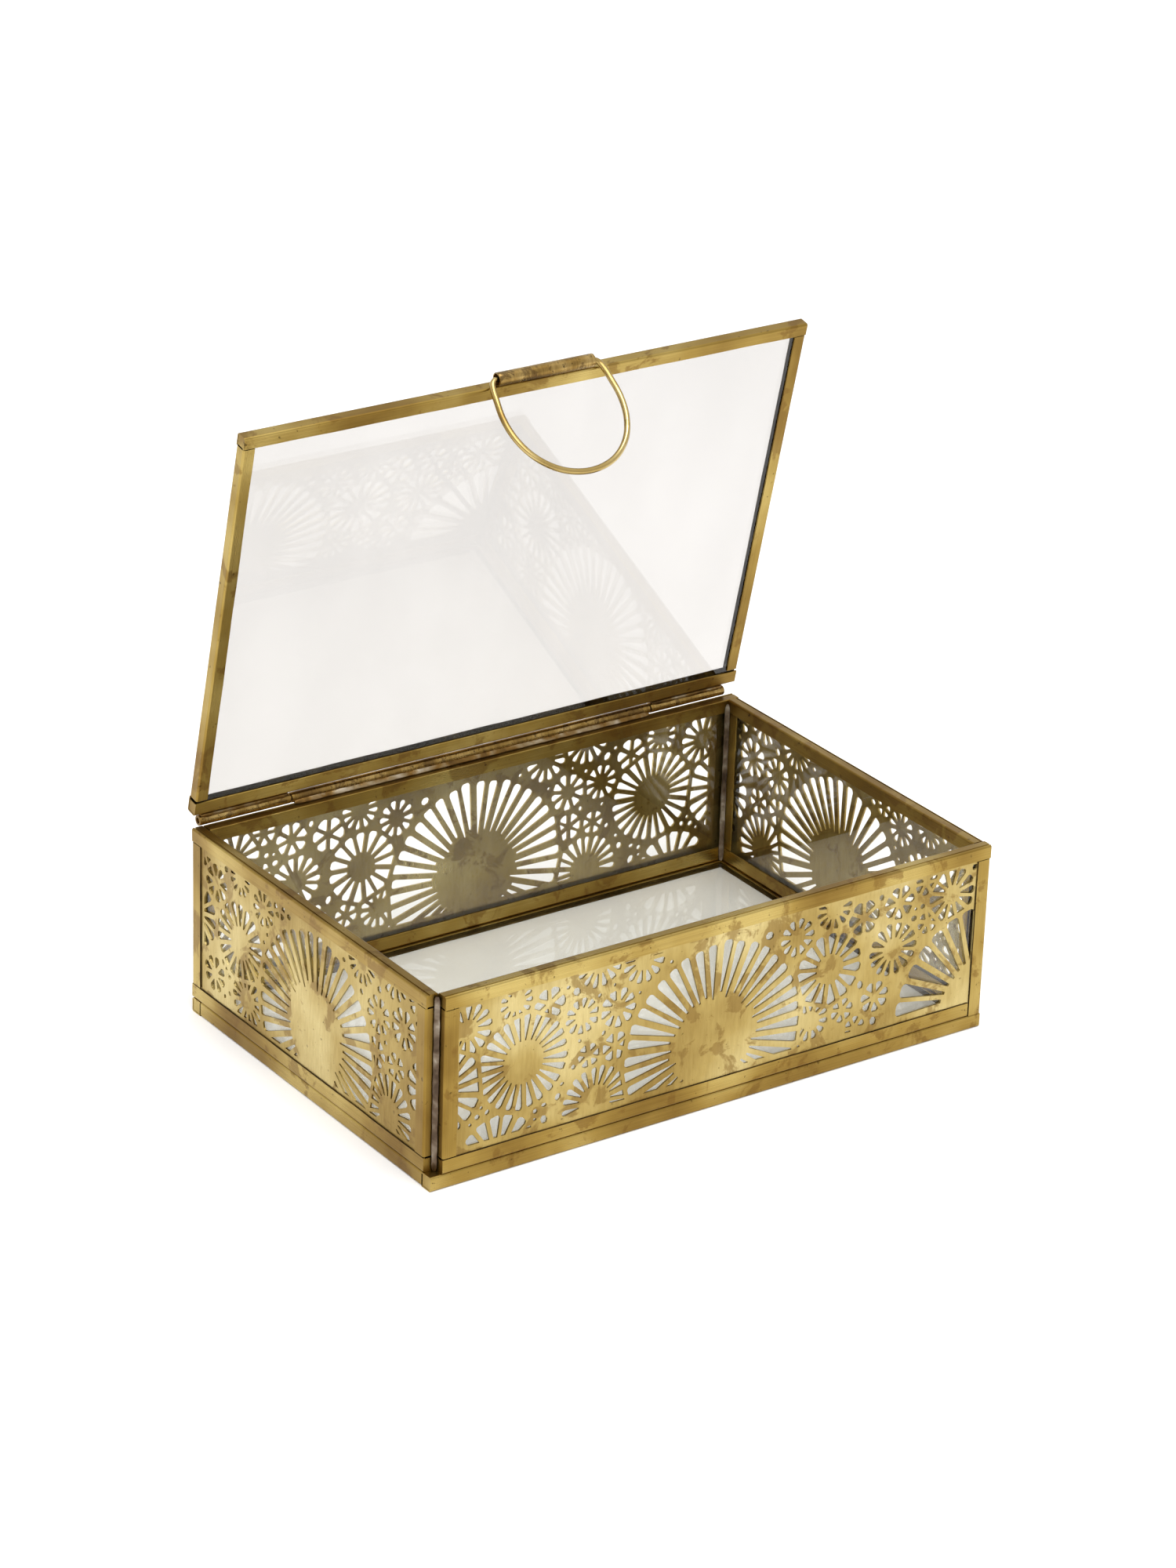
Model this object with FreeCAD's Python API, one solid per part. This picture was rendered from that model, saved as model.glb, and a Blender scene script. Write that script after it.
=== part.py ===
import FreeCAD, Part
import math
import os
import random

V = FreeCAD.Vector

# Outline of the closed box, in millimetres. The origin is the middle of the underside,
# X runs along the front, Y from front to back and Z up.
BOX_WIDTH = 150.0
BOX_DEPTH = 100.0
BASE_HEIGHT = 3.5
WALL_TOP = 46.0
PANEL_THICKNESS = 3.0

# Folded brass strip that edges every pane, and what it holds.
STRIP = 0.35
FLANGE = 3.5
LID_FLANGE = 3.0
LID_BACK_FLANGE = 3.9
FRET_THICKNESS = 0.45
EDGE_GAP = 0.15

# Hinge along the top of the back wall.
HINGE_Y = 50.3
HINGE_Z = 47.3
HINGE_TUBE_RADIUS = 1.25
PIN_RADIUS = 0.65
PIN_CLEARANCE = 0.05
KNUCKLE_CUTS = (-73.3, -49.2, 50.7, 72.3)
KNUCKLE_GAP = 0.35

# Lid, laid out closed and then swung up to the angle it stands at.
LID_DEPTH = 99.74
LID_BACK_Y = 48.2
LID_UNDERSIDE = 46.41
LID_OPEN_ANGLE = 77.5

# Pull: a wire bail in a short tube on the lid's front edge.
PULL_CENTRE_X = 2.4
PULL_TUBE_LENGTH = 25.6
PULL_TUBE_RADIUS = 1.6
PULL_AXIS_UP = 0.75
WIRE_RADIUS = 0.72
WIRE_CLEARANCE = 0.08
MOUTH_RADIUS = 1.28
MOUTH_DEPTH = 1.6
BAIL_ANGLE = 60.0

# Cut pattern of the two long walls. Each burst is its place along the wall from the left end
# seen from outside, its height, how far its rays reach, its solid middle and its rays.
LONG_BURSTS = [
    (74.0, 16.5, 24.4, 10.8, 38),
    (23.5, 25.0, 11.8, 4.7, 24),
    (2.0, 22.8, 11.2, 4.0, 18),
    (17.0, 3.0, 11.0, 2.6, 17),
    (42.5, 10.0, 8.9, 3.8, 20),
    (9.0, 36.4, 6.3, 2.3, 13),
    (21.3, 39.9, 4.3, 2.2, 11),
    (30.0, 37.3, 4.1, 0.9, 6),
    (38.6, 32.0, 4.6, 2.0, 10),
    (48.1, 31.5, 4.9, 1.9, 9),
    (43.0, 44.0, 6.4, 2.4, 14),
    (54.6, 41.4, 5.7, 2.4, 12),
    (40.6, 22.0, 3.0, 0.8, 6),
    (47.6, 22.4, 3.6, 0.9, 6),
    (105.5, 26.0, 9.2, 3.6, 15),
    (96.2, 36.2, 4.7, 2.1, 10),
    (106.2, 40.5, 4.9, 2.3, 12),
    (114.7, 36.4, 4.3, 0.9, 6),
    (124.6, 37.6, 4.3, 1.1, 7),
    (132.0, 40.8, 3.2, 0.8, 6),
    (139.6, 36.0, 6.7, 2.1, 12),
    (123.4, 26.4, 6.8, 2.6, 14),
    (148.0, 8.5, 23.0, 8.8, 28),
    (101.0, 14.2, 4.9, 2.4, 11),
    (109.8, 14.6, 3.1, 0.9, 6),
    (118.9, 15.6, 4.0, 1.1, 7),
    (113.6, 9.2, 2.9, 0.8, 6),
    (133.0, 30.8, 2.9, 0.8, 6),
    (95.6, 7.6, 3.0, 0.9, 7),
]
LONG_FIELD = (6.9, 8.5, 146.6, 42.1)

# The same for the two short walls.
SHORT_BURSTS = [
    (52.5, 17.5, 24.0, 10.6, 38),
    (20.4, 25.6, 9.9, 4.0, 18),
    (1.5, 26.0, 8.6, 3.0, 14),
    (23.6, 12.6, 6.4, 2.9, 14),
    (82.5, 11.2, 9.2, 3.8, 19),
    (78.0, 32.8, 4.7, 2.0, 9),
    (88.0, 33.8, 5.0, 1.8, 9),
    (71.0, 42.6, 5.5, 2.3, 14),
    (84.0, 44.6, 5.6, 2.0, 12),
    (77.3, 23.6, 3.6, 0.9, 6),
    (85.0, 23.4, 3.4, 0.9, 6),
    (97.0, 22.0, 7.6, 2.5, 12),
    (30.5, 38.2, 4.5, 1.8, 10),
    (20.4, 41.6, 4.3, 1.6, 11),
    (10.2, 36.4, 4.6, 1.6, 8),
    (9.6, 13.4, 4.5, 1.2, 8),
    (14.8, 18.6, 2.2, 0.6, 5),
    (5.0, 41.8, 3.0, 0.8, 6),
    (93.0, 42.0, 3.2, 0.8, 6),
    (37.2, 41.0, 2.4, 0.7, 5),
]
SHORT_FIELD = (4.8, 8.0, 95.2, 42.2)

BAND = 0.95
PEBBLE_TRIES = 900

os.makedirs("parts", exist_ok=True)
built = {}


def keep(name, shape):
    built[name] = shape


def prism(points, push):
    loop = Part.makePolygon(points + [points[0]])
    return Part.Face(loop).extrude(push)


def cylinder_x(radius, x_low, x_high, y, z):
    return Part.makeCylinder(radius, x_high - x_low, V(x_low, y, z), V(1, 0, 0))


class Panel:
    """A pane laid out by u along it, v across it and t from its outer face inward."""

    def __init__(self, origin, along, across, inward, thickness):
        self.origin = origin
        self.along = along
        self.across = across
        self.inward = inward
        self.thickness = thickness

    def at(self, u, v, t):
        return self.origin + self.along * u + self.across * v + self.inward * t

    def block(self, u, v, t):
        corners = [self.at(u[0], v[0], t[0]), self.at(u[1], v[0], t[0])]
        corners += [self.at(u[1], v[1], t[0]), self.at(u[0], v[1], t[0])]
        return prism(corners, self.inward * (t[1] - t[0]))

    def channel(self, edge, side, run, flange, tongues=(False, False)):
        """U strip on the line v = edge (side 'v') or u = edge (side 'u'), open away from the edge."""
        across_edge, opens = edge
        thick = self.thickness
        profile = [(0, 0), (0, thick), (flange, thick), (flange, thick - STRIP)]
        profile += [(STRIP, thick - STRIP), (STRIP, STRIP), (flange, STRIP), (flange, 0)]
        points = []
        for depth, t in profile:
            place = across_edge + opens * depth
            if side == "v":
                points.append(self.at(run[0], place, t))
            else:
                points.append(self.at(place, run[0], t))
        direction = self.along if side == "v" else self.across
        shape = prism(points, direction * (run[1] - run[0]))
        # A tongue is the web alone, run on between the flanges of the strip it meets and short of its fold.
        reach = flange - STRIP - 0.25
        spans = []
        if tongues[0]:
            spans.append((run[0] - reach, run[0]))
        if tongues[1]:
            spans.append((run[1], run[1] + reach))
        web = sorted((across_edge, across_edge + opens * STRIP))
        inner = (STRIP, thick - STRIP)
        for span in spans:
            if side == "v":
                extra = self.block(span, web, inner)
            else:
                extra = self.block(web, span, inner)
            shape = shape.fuse(extra)
        return shape.removeSplitter()


def clip(points, a, b, c):
    """Part of a convex outline where a x + b y <= c."""
    kept = []
    for i, first in enumerate(points):
        second = points[(i + 1) % len(points)]
        d1 = a * first[0] + b * first[1] - c
        d2 = a * second[0] + b * second[1] - c
        if d1 <= 0:
            kept.append(first)
        if (d1 < 0 < d2) or (d2 < 0 < d1):
            f = d1 / (d1 - d2)
            kept.append((first[0] + f * (second[0] - first[0]), first[1] + f * (second[1] - first[1])))
    return kept


def area(points):
    total = 0.0
    for i, first in enumerate(points):
        second = points[(i + 1) % len(points)]
        total += first[0] * second[1] - second[0] * first[1]
    return total / 2


def tidy_outline(points, shortest):
    kept = []
    for point in points:
        if not kept or math.dist(point, kept[-1]) > shortest:
            kept.append(point)
    while len(kept) > 2 and math.dist(kept[0], kept[-1]) <= shortest:
        kept.pop()
    return kept


def ray_slot(u, v, core, reach, angle, rays, bar):
    """One ray: a slot that widens outward between two bars of even width, with a rounded end."""
    slope = math.tan(math.pi / rays)
    back_off = bar / 2 / math.cos(math.pi / rays)
    core = max(core, (0.15 + back_off) / slope)
    turn = min(0.9, 0.3 * (reach - core))
    narrow = core * slope - back_off
    wide = (reach - turn) * slope - back_off
    outline = [(core, -narrow), (reach - turn, -wide), (reach - 0.3 * turn, -0.8 * wide)]
    outline += [(reach, -0.45 * wide), (reach, 0.45 * wide), (reach - 0.3 * turn, 0.8 * wide)]
    outline += [(reach - turn, wide), (core, narrow)]
    cos, sin = math.cos(angle), math.sin(angle)
    return [(u + r * cos - s * sin, v + r * sin + s * cos) for r, s in outline]


def fretwork(bursts, field, seed):
    """Outlines of every hole in a cut sheet, each kept inside its own burst's cell."""
    chance = random.Random(seed)
    seeds = [(u, v, reach) for u, v, reach, core, rays in bursts]
    pebbles = []
    for _ in range(PEBBLE_TRIES):
        u = chance.uniform(field[0] + 0.5, field[2] - 0.5)
        v = chance.uniform(field[1] + 0.5, field[3] - 0.5)
        room = min(math.dist((u, v), (s[0], s[1])) - s[2] for s in seeds)
        size = min(room - 0.75 * BAND, 1.15)
        if size > 0.42:
            pebbles.append((u, v, size))
            seeds.append((u, v, size + 0.1))
    holes = []

    def add(points, u, v, own):
        low_u, low_v, high_u, high_v = field
        for a, b, c in ((-1, 0, -low_u), (1, 0, high_u), (0, -1, -low_v), (0, 1, high_v)):
            points = clip(points, a, b, c)
        for su, sv, sr in seeds:
            gap = math.dist((u, v), (su, sv))
            if gap < 1e-6 or gap > own + sr + 4:
                continue
            a, b = (su - u) / gap, (sv - v) / gap
            line = (gap * gap + own * own - sr * sr) / (2 * gap)
            points = clip(points, a, b, a * u + b * v + line - BAND / 2)
            if len(points) < 3:
                return
        points = tidy_outline(points, 0.12)
        if len(points) >= 3 and abs(area(points)) > 0.32:
            holes.append(points)

    for u, v, reach, core, rays in bursts:
        bar = 0.80 + 0.022 * reach
        start = chance.uniform(0, 2 * math.pi)
        for k in range(rays):
            angle = start + 2 * math.pi * (k + chance.uniform(-0.06, 0.06)) / rays
            inner = core * chance.uniform(0.95, 1.12)
            outer = reach * chance.uniform(0.96, 1.0)
            add(ray_slot(u, v, inner, outer, angle, rays, bar), u, v, reach)
    for u, v, size in pebbles:
        squash = chance.uniform(0.7, 1.0)
        lean = chance.uniform(0, math.pi)
        outline = []
        for k in range(7):
            a = 2 * math.pi * k / 7
            x, y = size * math.cos(a), squash * size * math.sin(a)
            outline.append((u + x * math.cos(lean) - y * math.sin(lean),
                            v + x * math.sin(lean) + y * math.cos(lean)))
        add(outline, u, v, size + 0.1)
    return holes


def cut_sheet(panel, u, v, t, holes, shift):
    """A flat sheet with the given holes; shift moves the pattern along the wall."""
    outer = [panel.at(u[0], v[0], t[0]), panel.at(u[1], v[0], t[0])]
    outer += [panel.at(u[1], v[1], t[0]), panel.at(u[0], v[1], t[0])]
    wires = [Part.makePolygon(outer + [outer[0]])]
    for hole in holes:
        loop = [panel.at(x + shift, y, t[0]) for x, y in hole]
        wires.append(Part.makePolygon(loop + [loop[0]]))
    face = Part.makeFace(wires, "Part::FaceMakerBullseye")
    return face.extrude(panel.inward * (t[1] - t[0]))


def trimmed(holes, low_u, high_u):
    """The holes cut back from a sheet's own ends."""
    kept = []
    for hole in holes:
        hole = tidy_outline(clip(clip(hole, 1, 0, high_u), -1, 0, -low_u), 0.12)
        if len(hole) >= 3 and abs(area(hole)) > 0.32:
            kept.append(hole)
    return kept


def wall(name, panel, length, holes, shift, post_runs_down=False):
    low, high = BASE_HEIGHT, WALL_TOP
    foot = low + FLANGE + 0.1
    head = high - FLANGE + 0.2
    top_flange = high - head
    bottom_flange = foot - low
    inner = (STRIP, PANEL_THICKNESS - STRIP)
    fret = (inner[0], inner[0] + FRET_THICKNESS)
    pane = (fret[1], inner[1])
    span_u = (STRIP + EDGE_GAP, length - STRIP - EDGE_GAP)
    span_v = (low + STRIP, high - STRIP - EDGE_GAP)
    bottom_end = length - FLANGE - 0.3 if post_runs_down else length
    bottom = panel.channel((low, 1), "v", (0, bottom_end), bottom_flange, (False, False))
    top = panel.channel((high, -1), "v", (0, length), top_flange, (False, False))
    left = panel.channel((0, 1), "u", (foot, head), FLANGE, (True, True))
    right_low = low if post_runs_down else foot
    right = panel.channel((length, -1), "u", (right_low, head), FLANGE, (not post_runs_down, True))
    keep(name + "_bottom_channel", bottom)
    keep(name + "_top_channel", top)
    keep(name + "_left_channel", left)
    keep(name + "_right_channel", right)
    keep(name + "_glass", panel.block(span_u, span_v, pane))
    own = trimmed(holes, span_u[0] - shift + 1.0, span_u[1] - shift - 1.0)
    keep(name + "_fretwork", cut_sheet(panel, span_u, span_v, fret, own, shift))


# The long sheets share one pattern and the short sheets another.
long_holes = fretwork(LONG_BURSTS, LONG_FIELD, 11)
short_holes = fretwork(SHORT_BURSTS, SHORT_FIELD, 5)
print("holes", len(long_holes), len(short_holes))

half_w, half_d, thick = BOX_WIDTH / 2, BOX_DEPTH / 2, PANEL_THICKNESS
X, Y, Z = V(1, 0, 0), V(0, 1, 0), V(0, 0, 1)

# Three corners are butted and the front left one meets only at its inner edges.
front = Panel(V(-half_w + thick, -half_d, 0), X, Z, Y, thick)
back = Panel(V(half_w, half_d, 0), -X, Z, -Y, thick)
left = Panel(V(-half_w, half_d, 0), -Y, Z, X, thick)
right = Panel(V(half_w, -half_d + thick, 0), Y, Z, -X, thick)
wall("front", front, BOX_WIDTH - thick, long_holes, -thick, True)
wall("back", back, BOX_WIDTH - thick, long_holes, 0)
wall("left", left, BOX_DEPTH - thick, short_holes, 0)
wall("right", right, BOX_DEPTH - 2 * thick, short_holes, -thick)

# Framed bottom pane.
base = Panel(V(-half_w, -half_d, 0), X, Y, Z, BASE_HEIGHT)
base_in = FLANGE
keep("base_front_channel", base.channel((0, 1), "v", (0, BOX_WIDTH), base_in))
keep("base_back_channel", base.channel((BOX_DEPTH, -1), "v", (0, BOX_WIDTH), base_in))
side_run = (base_in, BOX_DEPTH - base_in)
keep("base_left_channel", base.channel((0, 1), "u", side_run, base_in, (True, True)))
keep("base_right_channel", base.channel((BOX_WIDTH, -1), "u", side_run, base_in, (True, True)))
gap = STRIP + EDGE_GAP
base_u, base_v = (gap, BOX_WIDTH - gap), (gap, BOX_DEPTH - gap)
keep("base_glass", base.block(base_u, base_v, (STRIP, BASE_HEIGHT - STRIP)))

# Vertical solder beads in the four inner corners, and one in the open front left notch.
BEAD = 1.1
bead_span = Z * (WALL_TOP - BASE_HEIGHT - 1.0)
corners = {
    "front_left": (-half_w + thick, -half_d + thick, 1, 1),
    "front_right": (half_w - thick, -half_d + thick, -1, 1),
    "back_left": (-half_w + thick, half_d - thick, 1, -1),
    "back_right": (half_w - thick, half_d - thick, -1, -1),
}
for name, (x, y, sx, sy) in corners.items():
    flat = [(0, 0), (BEAD, 0), (0.62 * BEAD, 0.22 * BEAD), (0.22 * BEAD, 0.62 * BEAD), (0, BEAD)]
    loop = [V(x + sx * a, y + sy * b, BASE_HEIGHT) for a, b in flat]
    bead = prism(loop, bead_span)
    if name == "front_left":
        outside = [(0, 0), (-1.3, 0), (-0.7, -0.35), (-0.35, -0.7), (0, -1.3)]
        loop = [V(x + a, y + b, BASE_HEIGHT) for a, b in outside]
        bead = Part.makeCompound([bead, prism(loop, bead_span)])
    keep("corner_solder_" + name, bead)

# Hinge knuckles, pin and the solder that holds each knuckle.
first, second, third, fourth = KNUCKLE_CUTS
half_gap = KNUCKLE_GAP / 2


def knuckle(x_low, x_high, bore):
    tube = cylinder_x(HINGE_TUBE_RADIUS, x_low, x_high, HINGE_Y, HINGE_Z)
    return tube.cut(cylinder_x(bore, x_low - 1, x_high + 1, HINGE_Y, HINGE_Z))


def solder_strip(x_low, x_high, outline):
    loop = [V(x_low, y, z) for y, z in outline]
    strip = prism(loop, X * (x_high - x_low))
    return strip.cut(cylinder_x(HINGE_TUBE_RADIUS, x_low - 1, x_high + 1, HINGE_Y, HINGE_Z))


loose = PIN_RADIUS + PIN_CLEARANCE
tie = [(LID_BACK_Y, 46.55), (49.2, 46.4), (49.4, 47.2), (49.8, 48.2), (LID_BACK_Y, 48.9)]
seat = [(48.0, WALL_TOP), (49.98, WALL_TOP), (50.2, 46.3), (49.6, 47.3), (49.0, 47.2)]
mid_low, mid_high = second + half_gap, third - half_gap
keep("hinge_knuckle_middle", knuckle(mid_low, mid_high, PIN_RADIUS))
keep("hinge_pin", cylinder_x(PIN_RADIUS, first + 0.4, fourth - 0.4, HINGE_Y, HINGE_Z))
keep("hinge_solder_middle", solder_strip(mid_low + 0.4, mid_high - 0.4, seat))

# Everything below rides on the lid and is laid out closed.
lid_parts = {}
lid_parts["hinge_knuckle_left"] = knuckle(first, second - half_gap, loose)
lid_parts["hinge_knuckle_right"] = knuckle(third + half_gap, fourth, loose)
lid_parts["hinge_solder_left"] = solder_strip(first + 0.5, second - half_gap - 0.5, tie)
lid_parts["hinge_solder_right"] = solder_strip(third + half_gap + 0.5, fourth - 0.5, tie)

lid_top = LID_UNDERSIDE + PANEL_THICKNESS
lid = Panel(V(-half_w, LID_BACK_Y, lid_top), X, -Y, -Z, PANEL_THICKNESS)
lid_parts["lid_back_channel"] = lid.channel((0, 1), "v", (0, BOX_WIDTH), LID_BACK_FLANGE)
lid_parts["lid_front_channel"] = lid.channel((LID_DEPTH, -1), "v", (0, BOX_WIDTH), LID_FLANGE)
side_run = (LID_BACK_FLANGE, LID_DEPTH - LID_FLANGE)
lid_parts["lid_left_channel"] = lid.channel((0, 1), "u", side_run, LID_FLANGE, (True, True))
lid_parts["lid_right_channel"] = lid.channel((BOX_WIDTH, -1), "u", side_run, LID_FLANGE, (True, True))
lid_u, lid_v = (gap, BOX_WIDTH - gap), (gap, LID_DEPTH - gap)
lid_parts["lid_glass"] = lid.block(lid_u, lid_v, (STRIP, PANEL_THICKNESS - STRIP))

# Pull tube on the lid's front edge, its solder and the bail.
front_edge = LID_BACK_Y - LID_DEPTH
axis_y = front_edge - PULL_TUBE_RADIUS
axis_z = LID_UNDERSIDE + PULL_AXIS_UP
tube_low = PULL_CENTRE_X - PULL_TUBE_LENGTH / 2
tube_high = PULL_CENTRE_X + PULL_TUBE_LENGTH / 2
tube = cylinder_x(PULL_TUBE_RADIUS, tube_low, tube_high, axis_y, axis_z)
tube = tube.cut(cylinder_x(WIRE_RADIUS + WIRE_CLEARANCE, tube_low - 1, tube_high + 1, axis_y, axis_z))
tube = tube.cut(cylinder_x(MOUTH_RADIUS, tube_low - 1, tube_low + MOUTH_DEPTH, axis_y, axis_z))
tube = tube.cut(cylinder_x(MOUTH_RADIUS, tube_high - MOUTH_DEPTH, tube_high + 1, axis_y, axis_z))
lid_parts["handle_tube"] = tube

fillet = [(front_edge, axis_z - 0.68), (front_edge, axis_z + 1.75), (front_edge - 0.9, axis_z + 1.2)]
fillet += [(front_edge - 0.9, axis_z - 0.6)]
loop = [V(tube_low + 1.5, y, z) for y, z in fillet]
blob = prism(loop, X * (PULL_TUBE_LENGTH - 3))
blob = blob.cut(cylinder_x(PULL_TUBE_RADIUS, tube_low - 1, tube_high + 1, axis_y, axis_z))
lid_parts["handle_solder"] = blob

# Centre line of the bail: sideways from its middle, and outward from the tube's axis.
half_line = [(1.5, 0.0), (4.5, 0.0), (7.5, 0.0), (10.0, 0.0), (12.2, 0.0), (13.45, 0.22)]
half_line += [(14.3, 0.95), (14.75, 2.2), (15.2, 5.2), (15.6, 9.5), (14.9, 14.5)]
half_line += [(12.3, 19.8), (7.2, 24.1), (0.0, 25.8)]
swing = math.radians(BAIL_ANGLE)


def on_bail(side, out):
    return V(PULL_CENTRE_X + side, axis_y + out * math.cos(swing), axis_z - out * math.sin(swing))


line = [on_bail(-s, r) for s, r in half_line] + [on_bail(s, r) for s, r in half_line[-2::-1]]
curve = Part.BSplineCurve()
curve.interpolate(line)
path = Part.Wire([curve.toShape()])
ring = Part.Wire([Part.Circle(line[0], V(-1, 0, 0), WIRE_RADIUS).toShape()])
bail = path.makePipeShell([ring], True, False)
lid_parts["handle_bail"] = bail

pivot = V(0, HINGE_Y, HINGE_Z)
for name, shape in lid_parts.items():
    shape.rotate(pivot, X, -LID_OPEN_ANGLE)
    keep(name, shape)

for name, shape in sorted(built.items()):
    solids = shape.Solids
    print(name, len(solids), round(shape.Volume, 1), shape.isValid())
    shape.exportStep("parts/" + name + ".step")
axis_point = V(PULL_CENTRE_X, axis_y, axis_z)
turned = Part.Vertex(axis_point)
turned.rotate(pivot, X, -LID_OPEN_ANGLE)
print("bail axis", turned.Point)
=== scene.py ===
import bpy
import math
import numpy as np
from mathutils import Matrix


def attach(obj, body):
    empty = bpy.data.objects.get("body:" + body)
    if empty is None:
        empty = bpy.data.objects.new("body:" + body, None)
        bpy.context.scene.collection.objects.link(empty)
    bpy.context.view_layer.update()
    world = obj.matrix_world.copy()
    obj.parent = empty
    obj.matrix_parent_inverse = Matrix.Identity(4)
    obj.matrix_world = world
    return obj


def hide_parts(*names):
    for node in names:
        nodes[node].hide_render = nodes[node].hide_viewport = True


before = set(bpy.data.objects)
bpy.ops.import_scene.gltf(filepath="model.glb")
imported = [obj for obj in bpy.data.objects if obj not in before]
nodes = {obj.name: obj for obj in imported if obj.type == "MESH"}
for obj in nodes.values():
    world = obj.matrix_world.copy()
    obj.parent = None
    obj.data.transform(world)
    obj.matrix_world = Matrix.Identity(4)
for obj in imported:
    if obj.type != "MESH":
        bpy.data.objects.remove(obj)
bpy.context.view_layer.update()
print("stage: frame loaded")

mm = 0.001
xAxis, yAxis, zAxis = np.eye(3)

# Sizes shared by every panel, in millimetres.
strip = {"sheet": 0.33, "outerBend": 0.5, "innerBend": 0.17, "seam": 0.1, "tipWander": 0.018, "pressed": 0.05,
         "tabInset": 0.25, "station": 3.0}
# Panes: how far they stop short of the strip's fold, their ground corner, and where they lie in a panel.
glass = {"inset": 0.55, "corner": 0.12, "wallThrough": (0.83, 2.62), "edge": 0.4}
hinge = {"y": 50.3, "z": 47.3, "tube": 1.25, "bore": 0.72, "openAngle": 77.5}


# Points laid out with the lid shut, turned about the hinge to where the lid stands at rest.
def openLid(points):
    angle = math.radians(-hinge["openAngle"])
    y, z = points[..., 1] - hinge["y"], points[..., 2] - hinge["z"]
    turned = np.array(points, dtype=float)
    turned[..., 1] = hinge["y"] + y * math.cos(angle) - z * math.sin(angle)
    turned[..., 2] = hinge["z"] + y * math.sin(angle) + z * math.cos(angle)
    return turned


# Three sines of falling length added up: a smooth, repeatable unevenness between about -1 and 1.
def ripple(seed, s, length):
    phases = np.random.default_rng(abs(seed)).uniform(0, 2 * math.pi, 3)
    parts = [w * np.sin(2 * math.pi * s / (length * k) + p)
             for w, k, p in zip((0.55, 0.3, 0.15), (1.0, 0.47, 0.21), phases)]
    return sum(parts)


# Quads of a grid of rings. Each face is joined to the next ring and the next point round, with map corners in
# millimetres: distance along the path, and distance round the ring.
def gridFaces(grid, wrapPath, offset, innerFrom):
    rings, count = grid.shape[:2]
    ringNext = np.vstack([grid, grid[:1]]) if wrapPath else grid
    path = ringNext[:, 0] if wrapPath else ringNext.mean(axis=1)
    along = np.concatenate([[0], np.cumsum(np.linalg.norm(np.diff(path, axis=0), axis=1))])
    loop = np.vstack([grid[0], grid[0][:1]])
    around = np.concatenate([[0], np.cumsum(np.linalg.norm(np.diff(loop, axis=0), axis=1))])
    steps = rings if wrapPath else rings - 1
    i, j = np.meshgrid(np.arange(steps), np.arange(count), indexing="ij")
    i, j = i.ravel(), j.ravel()
    i2, j2 = (i + 1) % rings, (j + 1) % count
    quads = np.stack([i * count + j, i2 * count + j, i2 * count + j2, i * count + j2], axis=1) + offset
    maps = np.stack([np.stack([along[i + da], around[j + dj]], 1)
                     for da, dj in ((0, 0), (1, 0), (1, 1), (0, 1))], axis=1)
    slots = (j >= innerFrom).astype(int) if innerFrom else np.zeros(len(j), int)
    return quads, maps, slots


# One object from several grids of rings. A part is a grid, or (grid, options) with wrapPath for a ring of
# rings and innerFrom, the point from which the ring is the piece's inner side.
def makePiece(name, parts, body, materials, replaced=(), sharp=38):
    points, faces, maps, slots, offset = [], [], [], [], 0
    for part in parts:
        grid, options = part if isinstance(part, tuple) else (part, {})
        wrapPath = options.get("wrapPath", False)
        quads, corner, slot = gridFaces(grid, wrapPath, offset, options.get("innerFrom", 0))
        rings, count = grid.shape[:2]
        # The signed volume under the faces says whether they point inwards and have to be turned.
        flat = grid.reshape(-1, 3) - grid.reshape(-1, 3).mean(axis=0)
        first, second, third, fourth = (flat[quads[:, k] - offset] for k in range(4))
        signed = np.einsum("ij,ij->i", first, np.cross(second, third) + np.cross(third, fourth)).sum()
        flip = signed < 0
        if flip:
            quads, corner = quads[:, ::-1], corner[:, ::-1]
        faces += quads.tolist()
        maps += corner.reshape(-1, 2).tolist()
        slots += slot.tolist()
        if not wrapPath:
            startCap = [offset + k for k in range(count)]
            endCap = [offset + (rings - 1) * count + k for k in range(count)]
            caps = [startCap, endCap[::-1]] if not flip else [startCap[::-1], endCap]
            spread = grid[0] - grid[0].mean(axis=0)
            for cap in caps:
                faces.append(cap)
                maps += spread[[(v - offset) % count for v in cap]][:, :2].tolist()
                slots.append(0)
        points.append(grid.reshape(-1, 3))
        offset += rings * count
    mesh = bpy.data.meshes.new(name)
    mesh.from_pydata((np.vstack(points) * mm).tolist(), [], faces)
    mesh.uv_layers.new(name="along").data.foreach_set("uv", np.array(maps, dtype=float).ravel())
    for material in materials:
        mesh.materials.append(material)
    mesh.polygons.foreach_set("material_index", slots)
    mesh.validate()
    mesh.shade_smooth()
    mesh.set_sharp_from_angle(angle=math.radians(sharp))
    mesh.update()
    piece = bpy.data.objects.new(name, mesh)
    bpy.context.scene.collection.objects.link(piece)
    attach(piece, body)
    if replaced:
        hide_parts(*replaced)
    return piece


# Points on a circle arc from start to end degrees.
def arc(centre, radius, start, end, count=5):
    a = np.radians(np.linspace(start, end, count))
    return np.stack([centre[0] + radius * np.cos(a), centre[1] + radius * np.sin(a)], axis=1)


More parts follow.
